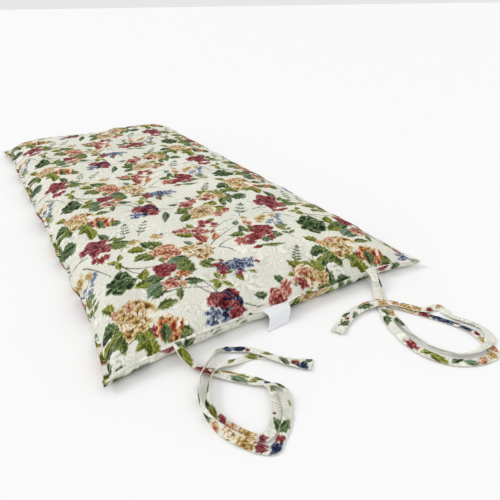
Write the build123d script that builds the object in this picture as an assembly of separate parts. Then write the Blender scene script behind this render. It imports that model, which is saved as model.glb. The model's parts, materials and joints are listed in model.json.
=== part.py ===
from build123d import *
import math
import os

# A roll-up futon mattress: two printed cloth panels sewn face to face round a stack of batts,
# with two pairs of fabric ties and a care label caught in the seam of one short edge.
# Millimetres. X is the width, Y the length (ties at -Y), Z is up and the floor is Z = 0.

# Mattress
WIDTH = 600.0
LENGTH = 1260.0
SEAM_HEIGHT = 18.0          # of the perimeter seam over the floor
SIDE_PULL_IN = 14.0         # how far the middle of a side draws in between its corners
CROWN = 39.0                # rise of the top from the seam to the middle
CROWN_EASE = 35.0           # distance over which the crown builds up from a side
CROWN_STEPS = (0, 5, 12, 22, 36, 56, 85, 130)       # insets of the contours that shape the top
FOOT_STEPS = (0, 1.5, 5, 10, 18, 30)                # insets of the contours that shape the foot
EAR_RADIUS = 6.0

# Cloth and sewing
CLOTH = 1.0
SEAM_GAP = 0.4              # between the two panels' rims and allowances
ALLOWANCE = 12.0            # depth of the seam allowance turned inside
FOLD = 0.6                  # extra thickness where the skin turns in at the rim
STITCH_INSET = 7.0          # of the stitch line from the outline
STITCH_PITCH = 18.0
STITCH_RADIUS = 0.4
CLEARANCE = 0.3

# Batts
LOWER_BATT_TOP = 15.0
CORE_BATT_TOP = 39.0
CORE_BATT_INSET = 32.0

# Ties: each is a pair of folded straps that leave the seam one on top of the other
STRAP_WIDTH = 13.0
STRAP_THICK = 1.6
LEFT_TIE_X = -190.0
RIGHT_TIE_X = 184.0
TIE_ROOT_Y = -613.0
NOTCH_WIDTH = STRAP_WIDTH + 1.0
NOTCH_HEIGHT = 2 * STRAP_THICK + 0.9
BAR_TACK = (19.0, 1.6, 4.6)

# Care label: a sewn-in root and the flap that swings from it
LABEL_X = -18.0
LABEL_WIDTH = 46.0
LABEL_THICK = 0.5
LABEL_ROOT_DEPTH = 9.0
LABEL_HINGE_OUT = 3.0       # hinge line's distance out from the outline
LABEL_FREE_LENGTH = 30.0
LABEL_DROOP = 28.0          # degrees below level at rest

HALF_W = WIDTH / 2
HALF_L = LENGTH / 2

# Strap routes: the middle of the strap's thickness, from the root inside the seam to the free end.
# One strap lies on the floor at 1.0, and each strap that it crosses adds 2.0.
STRAP_ROUTES = {
    "left_tie_outer_strap": [
        (-190, -613, 18.95), (-190, -628, 18.9), (-187, -644, 12), (-180, -658, 5),
        (-165, -677, 3), (-146, -699, 3), (-127, -720, 3), (-110, -734, 3),
        (-99, -747, 3), (-100, -765, 3), (-112, -782, 2.4), (-127, -798, 1.4),
        (-142, -810, 1), (-158, -817, 1), (-174, -807, 1), (-187, -788, 1),
        (-201, -766, 1), (-206, -740, 1), (-204, -712, 1), (-195, -688, 1.8),
        (-184, -671, 5.4), (-168, -658, 7.2), (-153, -649, 7.2), (-139, -643, 4.4),
        (-126, -643, 2.6), (-111, -651, 2.7), (-94, -665, 3.5), (-77, -683, 3.2),
        (-61, -703, 3.2), (-47, -718, 3.2), (-33, -729, 3.2)],
    "left_tie_inner_strap": [
        (-190, -613, 17.05), (-190, -626, 17), (-187, -640, 8.6), (-178, -656, 1.4),
        (-161, -675, 1), (-142, -695, 1), (-125, -713, 1), (-114, -729, 1),
        (-113, -747, 1), (-120, -765, 1), (-130, -781, 1.6), (-143, -795, 2.6),
        (-160, -804, 3.2), (-175, -795, 3.2), (-188, -774, 3.2), (-196, -752, 3.2),
        (-199, -731, 3.2), (-194, -715, 3.2), (-186, -701, 3.6), (-175, -687, 5.2),
        (-161, -674, 5.6), (-145, -668, 5.4), (-128, -669, 3.6), (-111, -671, 1.3),
        (-97, -677, 1), (-83, -688, 1), (-69, -709, 1), (-56, -729, 1),
        (-41, -746, 1)],
    "right_tie_outer_strap": [
        (184, -613, 18.95), (183, -628, 18.9), (173, -643, 12), (161, -660, 5),
        (147, -679, 3.2), (133, -702, 3.2), (121, -727, 3.2), (114, -753, 3.2),
        (112, -780, 3.2), (116, -805, 3.2), (127, -829, 3.2), (145, -848, 2.4),
        (169, -858, 1), (192, -859, 1), (205, -850, 1), (209, -834, 1),
        (214, -809, 1), (210, -785, 1), (200, -766, 1), (189, -745, 1),
        (176, -723, 1.6), (165, -705, 4.4), (153, -687, 5.4), (140, -673, 5.2),
        (121, -665, 2.4), (97, -667, 1), (74, -675, 1.8), (53, -684, 3.2),
        (34, -695, 3.2)],
    "right_tie_inner_strap": [
        (184, -613, 17.05), (184, -626, 17), (181, -641, 8.6), (171, -659, 1.4),
        (158, -680, 1), (147, -703, 1), (141, -729, 1), (137, -756, 1),
        (134, -784, 1), (138, -811, 1), (149, -832, 1), (167, -842, 1),
        (189, -844, 2.8), (210, -837, 3.2), (227, -826, 3.2), (235, -809, 2.6),
        (229, -791, 3.2), (217, -776, 3.2), (215, -758, 3.2), (219, -744, 3.2),
        (212, -733, 3.2), (197, -730, 3.2), (181, -716, 4.6), (165, -700, 7),
        (149, -688, 7.8), (132, -682, 7.2), (113, -682, 4), (93, -686, 1.2),
        (74, -692, 1), (55, -700, 1), (38, -706, 1)],
}

os.makedirs("parts", exist_ok=True)


def save(name, shape):
    """Write one node's STEP file."""
    shape.label = name
    export_step(shape, f"parts/{name}.step")


# ---- The mattress's shape, as contours of its outline ----

def top_height(inset):
    """Height of the outside of the top panel, at a distance in from the seam."""
    rim = SEAM_HEIGHT + SEAM_GAP / 2 + CLOTH
    return rim + CROWN * (1 - math.exp(-inset / CROWN_EASE))


def foot_height(inset):
    """Height of the outside of the bottom panel: upright at the seam, then round to the floor."""
    rim = SEAM_HEIGHT - SEAM_GAP / 2 - CLOTH
    way_in = min(1.0, inset / FOOT_STEPS[-1])
    return rim * (1 - math.sqrt(1 - (1 - way_in) ** 2))


def outline_point(angle_side, t, inset=0.0):
    """A point of the outline: side 0 is -Y, then +X, +Y, -X; t runs from -1 to 1 along it."""
    if angle_side in (0, 2):
        sign = -1 if angle_side == 0 else 1
        x = -sign * t * (HALF_W - inset)
        y = sign * (HALF_L - inset - SIDE_PULL_IN * (1 - t * t))
    else:
        sign = 1 if angle_side == 1 else -1
        x = sign * (HALF_W - inset - SIDE_PULL_IN * (1 - t * t))
        y = sign * t * (HALF_L - inset)
    return x, y


def contour(inset, height):
    """The outline drawn in by inset, as a flat face at a height."""
    edges = []
    for side in range(4):
        first, middle, last = (outline_point(side, t, inset) for t in (-1, 0, 1))
        edges.append(ThreePointArc(first, middle, last))
    plan = make_face(edges)
    plan = fillet(plan.vertices(), EAR_RADIUS + 0.6 * inset)
    return Pos(0, 0, height) * plan


def stacked(levels):
    """A solid through the contours of a list of (inset, height)."""
    return loft([contour(inset, height) for inset, height in levels], ruled=True)


def prism(inset, low, high):
    """A straight-sided block with the outline's shape."""
    return extrude(contour(inset, low), amount=high - low, dir=(0, 0, 1))


# ---- Cloth panels ----

def seam_slots():
    """Room between the two rims for the tie roots and the label's root."""
    slots = []
    for tie_x in (LEFT_TIE_X, RIGHT_TIE_X):
        notch = Box(NOTCH_WIDTH, 40, NOTCH_HEIGHT, align=(Align.CENTER, Align.MAX, Align.CENTER))
        slots.append(Pos(tie_x, TIE_ROOT_Y + 1, SEAM_HEIGHT) * notch)
    _, edge_y = outline_point(0, LABEL_X / HALF_W)
    slot = Box(LABEL_WIDTH + 1, 40, LABEL_THICK + 2 * CLEARANCE,
               align=(Align.CENTER, Align.MAX, Align.CENTER))
    slots.append(Pos(LABEL_X, edge_y + LABEL_ROOT_DEPTH + 1, SEAM_HEIGHT) * slot)
    return slots


def without_slots(panel):
    for slot in seam_slots():
        panel = panel - slot
    return panel


def make_top_panel():
    """The upper skin, with its seam allowance turned in at the rim."""
    rim = SEAM_HEIGHT + SEAM_GAP / 2
    outside = stacked([(0, rim)] + [(inset, top_height(inset)) for inset in CROWN_STEPS])
    cavity = stacked([(CLOTH + FOLD, rim + CLOTH)] + [(inset + CLOTH, top_height(inset) - CLOTH)
                                                      for inset in CROWN_STEPS[1:]])
    mouth = prism(ALLOWANCE, rim - 1, rim + 2 * CLOTH)
    return without_slots(outside - cavity - mouth)


def make_bottom_panel():
    """The lower skin, flat where it lies on the floor, with its own allowance."""
    rim = SEAM_HEIGHT - SEAM_GAP / 2
    outside = stacked([(inset, foot_height(inset)) for inset in reversed(FOOT_STEPS)] + [(0, rim)])
    cavity = stacked([(inset + CLOTH, foot_height(inset) + CLOTH)
                      for inset in reversed(FOOT_STEPS[1:])] + [(CLOTH + FOLD, rim - CLOTH)])
    mouth = prism(ALLOWANCE, rim - 2 * CLOTH, rim + 1)
    return without_slots(outside - cavity - mouth)


# ---- Batts ----

def make_lower_batt():
    """The layer that fills the foot, up to just under the seam."""
    gap = CLOTH + CLEARANCE
    levels = [(inset + gap + 2, foot_height(inset) + gap) for inset in reversed(FOOT_STEPS)
              if foot_height(inset) + gap < LOWER_BATT_TOP]
    return stacked(levels + [(ALLOWANCE + CLEARANCE, LOWER_BATT_TOP)])


def make_core_batt():
    """The thick middle layer."""
    return prism(CORE_BATT_INSET, LOWER_BATT_TOP + CLEARANCE, CORE_BATT_TOP)


def make_upper_batt():
    """The domed layer under the top panel."""
    gap = CLOTH + CLEARANCE
    levels = [(inset + gap, top_height(inset) - gap) for inset in CROWN_STEPS
              if top_height(inset) - gap > CORE_BATT_TOP + 2]
    return stacked([(levels[0][0] + 1, CORE_BATT_TOP + CLEARANCE)] + levels)


# ---- Sewing ----

def make_perimeter_stitches():
    """One short thread pin per stitch, through both allowances, all round the seam."""
    length = 2 * CLOTH + SEAM_GAP
    stitches = []
    for side in range(4):
        span = WIDTH if side in (0, 2) else LENGTH
        count = round(span / STITCH_PITCH)
        for k in range(count):
            t = 2 * (k + 0.5) / count - 1
            x, y = outline_point(side, t, STITCH_INSET)
            near_tie = any(abs(x - tie_x) < BAR_TACK[0] / 2 + 2 for tie_x in (LEFT_TIE_X, RIGHT_TIE_X))
            if side == 0 and (near_tie or abs(x - LABEL_X) < LABEL_WIDTH / 2 + 2):
                continue
            pin = Cylinder(STITCH_RADIUS, length)
            stitches.append(Pos(x, y, SEAM_HEIGHT) * pin)
    return Compound(children=stitches)


def make_bar_tack(tie_x):
    """A dense bar of thread across both strap roots and the allowances beside them."""
    return Pos(tie_x, TIE_ROOT_Y - 2.5, SEAM_HEIGHT) * Box(*BAR_TACK)


def make_label_stitches():
    """The thread that holds the label's root between the allowances."""
    _, edge_y = outline_point(0, LABEL_X / HALF_W)
    pins = []
    for k in range(8):
        x = LABEL_X + (k - 3.5) * 5.6
        pins.append(Pos(x, edge_y + STITCH_INSET, SEAM_HEIGHT) * Cylinder(STITCH_RADIUS, 2.4))
    return Compound(children=pins)


# ---- Ties ----

def fillet_radii(points):
    """Each corner's arc: 0.45 of the shorter run, over the tangent of half the turn."""
    radii = []
    for before, corner, after in zip(points, points[1:], points[2:]):
        arriving = corner - before
        leaving = after - corner
        turn = math.radians(arriving.get_angle(leaving))
        radii.append(0.45 * min(arriving.length, leaving.length) / math.tan(turn / 2))
    return radii


def make_strap(name):
    """A flat strap that keeps its face up along its route."""
    points = [Vector(*point) for point in STRAP_ROUTES[name]]
    radii = fillet_radii(points)
    path = FilletPolyline(*points, radius=radii)
    start = Plane(points[0], x_dir=(1, 0, 0), z_dir=(points[1] - points[0]).normalized())
    section = start * Rectangle(STRAP_WIDTH, STRAP_THICK)
    guide = Pos(0, 0, 3 * STRAP_WIDTH) * path
    strap = sweep(section, path=path, binormal=guide)
    print(name, "length", round(path.length, 1), "tightest radius", round(min(radii), 1),
          "volume over section x length", round(strap.volume / path.length / section.area, 3))
    print("   radii", [round(radius) for radius in radii])
    return strap


# ---- Care label ----

def make_label_root():
    """The label's sewn-in edge, out to its fold."""
    _, edge_y = outline_point(0, LABEL_X / HALF_W)
    depth = LABEL_ROOT_DEPTH + LABEL_HINGE_OUT - CLEARANCE
    root = Box(LABEL_WIDTH, depth, LABEL_THICK, align=(Align.CENTER, Align.MAX, Align.CENTER))
    return Pos(LABEL_X, edge_y + LABEL_ROOT_DEPTH, SEAM_HEIGHT) * root


def make_label_flap():
    """The label's free part, hanging from its fold towards the floor."""
    _, edge_y = outline_point(0, LABEL_X / HALF_W)
    hinge = Location((LABEL_X, edge_y - LABEL_HINGE_OUT, SEAM_HEIGHT), (LABEL_DROOP, 0, 0))
    flap = Box(LABEL_WIDTH, LABEL_FREE_LENGTH, LABEL_THICK,
               align=(Align.CENTER, Align.MAX, Align.CENTER))
    print("label hinge", hinge.position)
    return hinge * Pos(0, -2 * CLEARANCE, 0) * flap


def main():
    save("top_panel", make_top_panel())
    save("bottom_panel", make_bottom_panel())
    save("lower_batt", make_lower_batt())
    save("core_batt", make_core_batt())
    save("upper_batt", make_upper_batt())
    save("perimeter_seam_stitches", make_perimeter_stitches())
    for name in STRAP_ROUTES:
        save(name, make_strap(name))
    save("left_tie_bar_tack", make_bar_tack(LEFT_TIE_X))
    save("right_tie_bar_tack", make_bar_tack(RIGHT_TIE_X))
    save("care_label_root", make_label_root())
    save("care_label_flap", make_label_flap())
    save("care_label_stitches", make_label_stitches())


main()
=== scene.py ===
import json
import math

import bpy
import numpy as np
from mathutils import Matrix, Vector


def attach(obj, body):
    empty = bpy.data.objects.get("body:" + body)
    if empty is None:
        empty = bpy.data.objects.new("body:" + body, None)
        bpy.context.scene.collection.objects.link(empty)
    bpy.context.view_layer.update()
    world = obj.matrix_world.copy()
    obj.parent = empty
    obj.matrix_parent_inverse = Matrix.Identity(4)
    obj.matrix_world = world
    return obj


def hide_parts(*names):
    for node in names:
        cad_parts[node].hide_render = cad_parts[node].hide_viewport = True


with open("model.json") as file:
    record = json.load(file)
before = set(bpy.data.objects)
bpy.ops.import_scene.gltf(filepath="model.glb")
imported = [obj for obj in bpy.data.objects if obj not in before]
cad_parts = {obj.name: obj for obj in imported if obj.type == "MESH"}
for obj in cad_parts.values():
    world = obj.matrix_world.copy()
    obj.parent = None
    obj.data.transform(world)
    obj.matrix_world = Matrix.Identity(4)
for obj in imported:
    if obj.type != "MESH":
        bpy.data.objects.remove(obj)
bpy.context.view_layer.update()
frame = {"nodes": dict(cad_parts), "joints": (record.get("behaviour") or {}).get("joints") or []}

# Everything is in metres, in the row frame: X across, Y along, the tied edge at -Y, the floor at Z = 0.

# Mattress, as in the CAD source
HALF_W = 0.300
HALF_L = 0.630
SEAM_HEIGHT = 0.018
SIDE_PULL_IN = 0.014
CROWN = 0.039
CROWN_EASE = 0.035

# What the sewn cover does that the CAD solid doesn't
SEAM_RISE = 0.004           # the stuffing lifts the seam this far above the CAD seam
EAR_DROP = 0.009            # how far the seam sinks at a corner
EAR_REACH = 0.070
FOOT_INSET = 0.024          # from the seam's line in to where the underside meets the floor
FOOT_CLOTH = 0.034          # the cloth from the seam down to there
TOP_STEP = 0.0017           # mesh spacing of the printed top
UNDER_STEP = 0.0034
HIGH_GROUND = 0.059         # lumps above this height are half as high
SIM_STEP = 0.0105           # mesh spacing of the pad while it is blown up by the cloth simulation
SIM_CAP = 0.005             # the furthest that the simulation may move a point
SIM_CREASES = 0.6           # how much of its creases is kept
SIM_SWELL = 0.02            # how much of its broad swelling is kept
UNDER_CUT = (-0.045, 0.340)  # where on the printed cloth the bottom panel was cut, from the top panel's place
FLANGE = 0.005              # the flat rim outside the dome, with its line of stitches
LIP = 0.008                 # seam allowance turned in behind the rim
EDGE_CLOTH = 0.0097         # extra cloth taken up by the steep edge
EDGE_CLOTH_EASE = 0.0195

# Ties and label
STRAP_WIDTH = 0.013
STRAP_THICK = 0.0017
LABEL_X = -0.018
LABEL_WIDTH = 0.046
LABEL_FREE = 0.030

# Camera
CAMERA_AT = Vector((-0.354, -1.099, 0.447))
CAMERA_YAW = math.radians(30.76)        # from +Y towards +X
CAMERA_PITCH = math.radians(28.81)      # below the horizon
CAMERA_ROLL = math.radians(-0.88)
CAMERA_LENS = 32.44
SENSOR = 36.0


# ---- Camera, floor and lights ----

def make_camera():
    """The photograph's viewing angle."""
    right = Vector((math.cos(CAMERA_YAW), -math.sin(CAMERA_YAW), 0))
    ahead = Vector((math.cos(CAMERA_PITCH) * math.sin(CAMERA_YAW),
                    math.cos(CAMERA_PITCH) * math.cos(CAMERA_YAW), -math.sin(CAMERA_PITCH)))
    up = right.cross(ahead)
    tilted_right = math.cos(CAMERA_ROLL) * right + math.sin(CAMERA_ROLL) * up
    tilted_up = math.cos(CAMERA_ROLL) * up - math.sin(CAMERA_ROLL) * right
    data = bpy.data.cameras.new("camera")
    data.lens = CAMERA_LENS
    data.sensor_width = SENSOR
    data.clip_start = 0.01
    data.clip_end = 60
    camera = bpy.data.objects.new("camera", data)
    bpy.context.scene.collection.objects.link(camera)
    axes = Matrix((tilted_right, tilted_up, -ahead)).transposed().to_4x4()
    camera.matrix_world = Matrix.Translation(CAMERA_AT) @ axes
    bpy.context.scene.camera = camera


def make_floor():
    bpy.ops.mesh.primitive_plane_add(size=400, location=(0, 0, -0.0004))
    floor = bpy.context.object
    floor.name = "floor"
    material = bpy.data.materials.new("floor_pale")
    material.use_nodes = True
    shader = material.node_tree.nodes["Principled BSDF"]
    shader.inputs["Base Color"].default_value = (0.93, 0.93, 0.93, 1)
    shader.inputs["Roughness"].default_value = 0.9
    floor.data.materials.append(material)


def soft_sun(name, direction, strength, spread):
    """A lamp far away in a direction, as wide across as its spread in degrees."""
    data = bpy.data.lights.new(name, "SUN")
    data.energy = strength
    data.angle = math.radians(spread)
    lamp = bpy.data.objects.new(name, data)
    bpy.context.scene.collection.objects.link(lamp)
    lamp.rotation_mode = "QUATERNION"
    lamp.rotation_quaternion = Vector(direction).to_track_quat("Z", "Y")


def make_lights():
    world = bpy.data.worlds.new("studio")
    world.use_nodes = True
    background = world.node_tree.nodes["Background"]
    background.inputs["Color"].default_value = (1, 1, 1, 1)
    background.inputs["Strength"].default_value = 0.80
    bpy.context.scene.world = world
    bpy.context.scene.view_settings.view_transform = "Standard"
    soft_sun("key", (-1.5, 1.4, 1.5), 0.95, 24)
    soft_sun("fill", (1.2, -1.6, 2.0), 0.22, 60)


# ---- Smooth noise, the same on every run ----

def lattice(ix, iy, seed):
    """A number from 0 to 1 for each whole-number point."""
    mixed = (ix.astype(np.int64) * 374761393 + iy.astype(np.int64) * 668265263 + seed * 1442695041)
    mixed = mixed & 0xFFFFFFFF
    mixed = ((mixed ^ (mixed >> 13)) * 1274126177) & 0xFFFFFFFF
    return ((mixed ^ (mixed >> 16)) & 0xFFFF) / 65535.0


def noise(x, y, seed):
    """Smooth noise from -1 to 1 that changes over about one unit."""
    ix = np.floor(x)
    iy = np.floor(y)
    fx = x - ix
    fy = y - iy
    fx = fx * fx * (3 - 2 * fx)
    fy = fy * fy * (3 - 2 * fy)
    low = lattice(ix, iy, seed) * (1 - fx) + lattice(ix + 1, iy, seed) * fx
    high = lattice(ix, iy + 1, seed) * (1 - fx) + lattice(ix + 1, iy + 1, seed) * fx
    return 2 * (low * (1 - fy) + high * fy) - 1


def smooth(value):
    """A soft step from 0 to 1."""
    value = np.clip(value, 0, 1)
    return value * value * (3 - 2 * value)


# ---- The print: flowers and leaves painted on the flat cloth, in millimetres ----

REPEAT_X = 403.0
REPEAT_Y = 375.0
EDGE_SOFT = 0.9             # how far a printed edge bleeds into the weave
INK_SOAK = np.array((0.28, 0.20, 0.40))     # how much red, green and blue the weave takes from dark inks
INK_SOAK_BELOW = 0.6        # inks lighter than this stay as they are


def ink(red, green, blue):
    """An ink's colour, given as 0 to 255 and kept as linear light."""
    value = np.array((red, green, blue)) / 255
    return np.where(value <= 0.04045, value / 12.92, ((value + 0.055) / 1.055) ** 2.4)


GROUND = ink(233, 232, 219)
STEM = ink(92, 98, 60)
DARK_STEM = ink(58, 66, 50)

# Each flower's inks run from the petal's rim to its root.
WHITE = [ink(244, 243, 236), ink(240, 239, 228), ink(214, 214, 198), ink(150, 160, 118)]
CREAM = [ink(244, 241, 228), ink(238, 226, 200), ink(204, 164, 112), ink(130, 90, 54)]
DAHLIA = [ink(238, 230, 206), ink(216, 190, 148), ink(170, 128, 86), ink(116, 78, 52)]
PEACH = [ink(240, 226, 200), ink(216, 168, 132), ink(182, 104, 82), ink(124, 54, 48)]
CRIMSON = [ink(206, 144, 142), ink(162, 66, 76), ink(128, 36, 48), ink(70, 22, 32)]
WINE = [ink(188, 126, 130), ink(154, 78, 90), ink(124, 44, 56), ink(74, 28, 40)]
ROSE = [ink(236, 202, 184), ink(200, 126, 114), ink(156, 66, 70), ink(92, 32, 38)]
FLAME = [ink(238, 208, 164), ink(214, 134, 84), ink(162, 58, 50), ink(94, 36, 38)]
NAVY = [ink(150, 162, 188), ink(56, 64, 108), ink(36, 38, 76), ink(24, 26, 52)]
WHITE_NAVY = [ink(226, 228, 228), ink(148, 158, 184), ink(58, 66, 110), ink(32, 34, 70)]
PALE_BLUE = [ink(214, 220, 226), ink(136, 148, 176), ink(84, 98, 136), ink(50, 58, 94)]
DARK_GREEN = [ink(158, 170, 140), ink(84, 102, 68), ink(46, 62, 40), ink(30, 42, 30)]
GREY_GREEN = [ink(166, 178, 158), ink(116, 134, 112), ink(82, 102, 80), ink(52, 66, 54)]
OLIVE = [ink(196, 190, 122), ink(126, 128, 44), ink(82, 90, 34), ink(46, 52, 28)]
MOSS = [ink(178, 182, 132), ink(104, 116, 58), ink(64, 78, 40), ink(38, 48, 30)]
OCHRE = [ink(238, 226, 192), ink(210, 176, 116), ink(168, 120, 66), ink(108, 72, 42)]


def shade(inks, tone):
    """The ink at a tone from 0, the first, to 1, the last, with each step fairly crisp."""
    steps = np.clip(tone, 0, 1) * (len(inks) - 1)
    low = np.minimum(np.floor(steps).astype(int), len(inks) - 2)
    part = smooth((steps - low - 0.25) * 2)[:, None]
    table = np.array(inks)
    return table[low] * (1 - part) + table[low + 1] * part


def bloom(px, py, inks, radius, layers=4, petals=6, ragged=0.16, seed=0, second=None, tall=1.0):
    """A many-petalled flower: layers of petals over each other, light at the rims, deep at the roots."""
    py = py / tall
    bend = radius * 0.22
    wx = px + bend * noise(px / radius * 2.0, py / radius * 2.0, seed)
    wy = py + bend * noise(px / radius * 2.0 + 9, py / radius * 2.0, seed + 1)
    r = np.hypot(wx, wy) / radius
    turn = np.arctan2(wy, wx)
    cover = np.zeros_like(px)
    colour = np.zeros((len(px), 3))
    speck = noise(px / 1.7, py / 2.6, seed + 5)
    blotch = noise(px / radius * 2.2, py / radius * 2.2, seed + 6)
    for layer in range(layers):
        size = 1 - 0.86 * layer / layers
        count = max(3, petals - layer // 2)
        phase = 1.7 * seed + 2.1 * layer
        lobe = np.abs(np.cos(0.5 * count * turn + phase))
        frill = noise(turn * 3 + 20, r * 2.5 + layer, seed + layer)
        edge = size * (1 - ragged + ragged * lobe ** 0.7 + 0.5 * ragged * frill)
        inside = smooth((edge - r) * radius / EDGE_SOFT)
        depth = (edge - r) / (1.15 / layers)
        streak = np.sin(count * 3 * turn + 2 * frill + 1.5 * layer)
        tone = 0.62 * depth + 0.10 * streak * np.clip(depth, 0, 1) + 0.50 * (1 - lobe) ** 2
        tone = 1.5 * tone + 0.05 * speck + 0.04 * layer + 0.16 * blotch - 0.16
        petal = shade(inks, tone)
        if second is not None:
            other = noise(px / radius * 1.5 + 3 * layer, py / radius * 1.5, seed + 7) > 0.04
            petal = np.where(other[:, None], shade(second, tone), petal)
        rim = smooth(1 - np.abs((edge - r) * radius + 0.3) / 1.1)[:, None]
        petal = petal * (1 - 0.6 * rim) + inks[-1] * 0.6 * rim
        colour += (petal - colour) * inside[:, None]
        cover = np.maximum(cover, inside)
    return cover, colour


def leaf(px, py, inks, length, width, seed=0, toothed=0.12):
    """A pointed leaf from its stalk at the origin along +X, with a pale midrib and veins."""
    along = px / length
    bow = 0.16 * width * np.sin(math.pi * along) * (1 if seed % 2 else -1)
    across = (py - bow) / (0.5 * width)
    half = np.sin(math.pi * np.clip(along, 0, 1) ** 0.82)
    teeth = toothed * np.sin(along * length * 0.8 + np.abs(across))
    half = half * (1 + teeth + 0.25 * noise(along * 3, across, seed))
    inside = smooth((half - np.abs(across)) * 0.5 * width / EDGE_SOFT) * (along > 0) * (along < 1)
    veins = np.sin(2 * math.pi * (length / 8.5 * along - 1.5 * np.abs(across)))
    blotch = noise(px / 7, py / 7, seed)
    tone = 0.48 - 0.30 * np.maximum(veins, 0) ** 2 + 0.16 * blotch
    tone = tone + 0.26 * np.sign(across) * (0.5 + 0.2 * blotch)
    colour = shade(inks, tone)
    rib = smooth(1 - np.abs(py - bow) / 1.1)[:, None] * 0.75
    colour = colour * (1 - rib) + inks[0] * rib
    margin = smooth(1 - np.abs((half - np.abs(across)) * 0.5 * width - 1.2) / 1.1)[:, None] * 0.5
    return inside, colour * (1 - margin) + inks[0] * margin


def bud(px, py, inks, length):
    """A closed bud along +X, in a green cup."""
    along = px / length
    half = 0.30 * length * np.sin(math.pi * np.clip(along, 0, 1) ** 0.75)
    inside = smooth((half - np.abs(py)) / EDGE_SOFT)
    colour = shade(inks, 0.45 + 0.4 * np.sin(py * 1.6) * along)
    cup = smooth((0.34 - along + 0.10 * np.sin(py * 2)) * 8)[:, None]
    return inside, colour * (1 - cup) + MOSS[2] * cup


def stem(px, py, colour, length, bow, thick):
    """A bowed stalk along +X that tapers to its tip."""
    along = px / length
    line = 4 * bow * along * (1 - along)
    half = 0.5 * thick * (1.15 - 0.6 * along)
    inside = smooth((half - np.abs(py - line)) / 0.8 + 0.4) * (along > 0) * (along < 1)
    return inside, np.broadcast_to(colour, (len(px), 3))


class Cloth:
    """Points of flat cloth, in millimetres, and the colour printed on each."""

    def __init__(self, x, y, repeat_x=REPEAT_X, repeat_y=REPEAT_Y):
        x = x.ravel()
        y = y.ravel()
        self.x = x + 0.5 * noise(x / 1.6, y / 1.9, 51)
        self.y = y + 0.5 * noise(x / 1.6, y / 1.9, 52)
        self.rgb = np.tile(GROUND, (self.x.size, 1))
        self.repeat_x = repeat_x
        self.repeat_y = repeat_y

    def paint(self, at, degrees, reach, motif, *facts, **more):
        """One motif, in every repeat of the print."""
        dx = (self.x - at[0] + self.repeat_x / 2) % self.repeat_x - self.repeat_x / 2
        dy = (self.y - at[1] + self.repeat_y / 2) % self.repeat_y - self.repeat_y / 2
        near = np.flatnonzero((np.abs(dx) < reach) & (np.abs(dy) < reach))
        cos = math.cos(math.radians(degrees))
        sin = math.sin(math.radians(degrees))
        px = cos * dx[near] + sin * dy[near]
        py = cos * dy[near] - sin * dx[near]
        cover, colour = motif(px, py, *facts, **more)
        self.rgb[near] += (colour - self.rgb[near]) * cover[:, None]

    def flower(self, x, y, radius, inks, seed, degrees=0, **more):
        reach = 1.4 * radius * more.get("tall", 1)
        self.paint((x, y), degrees, reach, bloom, inks, radius, seed=seed, **more)

    def blossoms(self, inks, seed, *places, **more):
        """Small ragged flowers given as (x, y, radius)."""
        for k, (x, y, radius) in enumerate(places):
            self.flower(x, y, radius, inks, seed + k, petals=5, layers=2, ragged=0.36, **more)

    def leaves(self, inks, *places):
        """Leaves given as (x, y of the stalk, direction in degrees, length, width)."""
        for k, (x, y, degrees, length, width) in enumerate(places):
            self.paint((x, y), degrees, 1.1 * length, leaf, inks, length, width, seed=k)

    def collar(self, x, y, radius, inks, first, last, count):
        """Leaves that fan out from under a flower, between two directions."""
        for k in range(count):
            degrees = first + (last - first) * k / (count - 1)
            px = x + 0.5 * radius * math.cos(math.radians(degrees))
            py = y + 0.5 * radius * math.sin(math.radians(degrees))
            size = radius * (1.05 + 0.22 * math.sin(2.4 * k + x))
            self.leaves(inks, (px, py, degrees + 13 * (-1) ** k, size, 0.56 * size))

    def stalk(self, x, y, degrees, length, bow=6, thick=1.8, colour=STEM):
        self.paint((x, y), degrees, 1.1 * length, stem, colour, length, bow, thick)

    def sprig(self, x, y, degrees, length, inks, pairs=5, leaf_length=13):
        """A stalk with a pair of small leaves at each step."""
        self.stalk(x, y, degrees, length, bow=3)
        turn = math.radians(degrees)
        for k in range(1, pairs + 1):
            out = length * k / pairs
            px = x + out * math.cos(turn)
            py = y + out * math.sin(turn)
            size = leaf_length * (1.15 - 0.45 * k / pairs)
            self.leaves(inks, (px, py, degrees + 52, size, 0.5 * size),
                        (px, py, degrees - 52, size, 0.5 * size))
        self.leaves(inks, (px, py, degrees, leaf_length, 0.5 * leaf_length))


def print_damask(cloth):
    """The tone-on-tone scrollwork in the ground: fine pale lines that curl round soft patches."""
    x = cloth.x
    y = cloth.y
    swell = 2.6 * noise(x / 44, y / 40, 60) + 1.1 * noise(x / 19, y / 21, 61)
    lines = np.sin(2 * math.pi * (swell * 2.2 + 0.25 * noise(x / 7, y / 7, 62)))
    patch = smooth(0.5 + 1.6 * noise(x / 30, y / 26, 63))
    drift = noise(x / 60, y / 52, 64)
    cloth.rgb *= (0.965 + 0.16 * lines * patch + 0.05 * drift)[:, None]


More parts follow.
